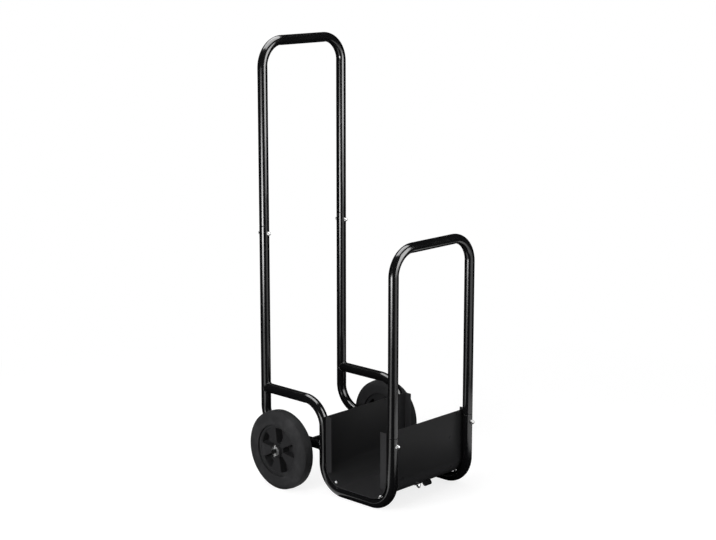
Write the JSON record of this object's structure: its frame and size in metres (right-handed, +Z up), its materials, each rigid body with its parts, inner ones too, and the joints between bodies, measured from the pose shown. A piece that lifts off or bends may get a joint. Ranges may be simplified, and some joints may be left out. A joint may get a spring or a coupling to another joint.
{
  "type": "fireside log cart",
  "caption": "Two-wheeled log cart: bent tube frame on runners with a tall push handle, a lower front hoop, a sheet tray at the foot and spoked wheels behind.",
  "frame": {"origin": "on the floor, midway between the two side frames and midway between the front and rear uprights", "axes": "+Z up, +X to the cart's side (right as seen from the front), -Y to the front, where the tray is"},
  "size_m": [0.4448, 0.4775, 1.1205],
  "materials": {
    "gloss_black_tube": "gloss black powder coat",
    "black_sheet": "semi-gloss black powder coat on sheet",
    "black_axle": "black painted steel rod",
    "zinc_fixings": "bright zinc plate",
    "bush_steel": "plain steel sleeve",
    "tyre_rubber": "smooth matte solid rubber",
    "rim_plastic": "moulded dark grey plastic"
  },
  "bodies": {
    "frame": {"push_handle": "gloss_black_tube", "front_hoop": "gloss_black_tube", "rear_tube_left": "gloss_black_tube", "rear_tube_right": "gloss_black_tube", "side_frame_left": "gloss_black_tube", "side_frame_right": "gloss_black_tube", "axle_rod": "black_axle", "log_tray": "black_sheet", "tray_lug": "gloss_black_tube", "lug_bolt": "zinc_fixings", "lug_nut": "zinc_fixings", "handle_bolts": "zinc_fixings", "handle_nuts": "zinc_fixings", "hoop_bolts": "zinc_fixings", "hoop_nuts": "zinc_fixings", "tray_screws": "zinc_fixings", "spacer_left": "black_axle", "spacer_right": "black_axle", "inner_washers": "zinc_fixings", "outer_washers": "zinc_fixings", "split_pin_left": "zinc_fixings", "split_pin_right": "zinc_fixings"},
    "wheel_left": {"tyre_left": "tyre_rubber", "rim_left": "rim_plastic", "bush_left": "bush_steel"},
    "wheel_right": {"tyre_right": "tyre_rubber", "rim_right": "rim_plastic", "bush_right": "bush_steel"}
  },
  "joints": [
    {"name": "wheel_left_spin", "type": "hinge", "parent": "frame", "child": "wheel_left", "pos_m": [-0.193, 0.1085, 0.101], "axis": [1, 0, 0], "continuous": true},
    {"name": "wheel_right_spin", "type": "hinge", "parent": "frame", "child": "wheel_right", "pos_m": [0.193, 0.1085, 0.101], "axis": [1, 0, 0], "continuous": true}
  ]
}
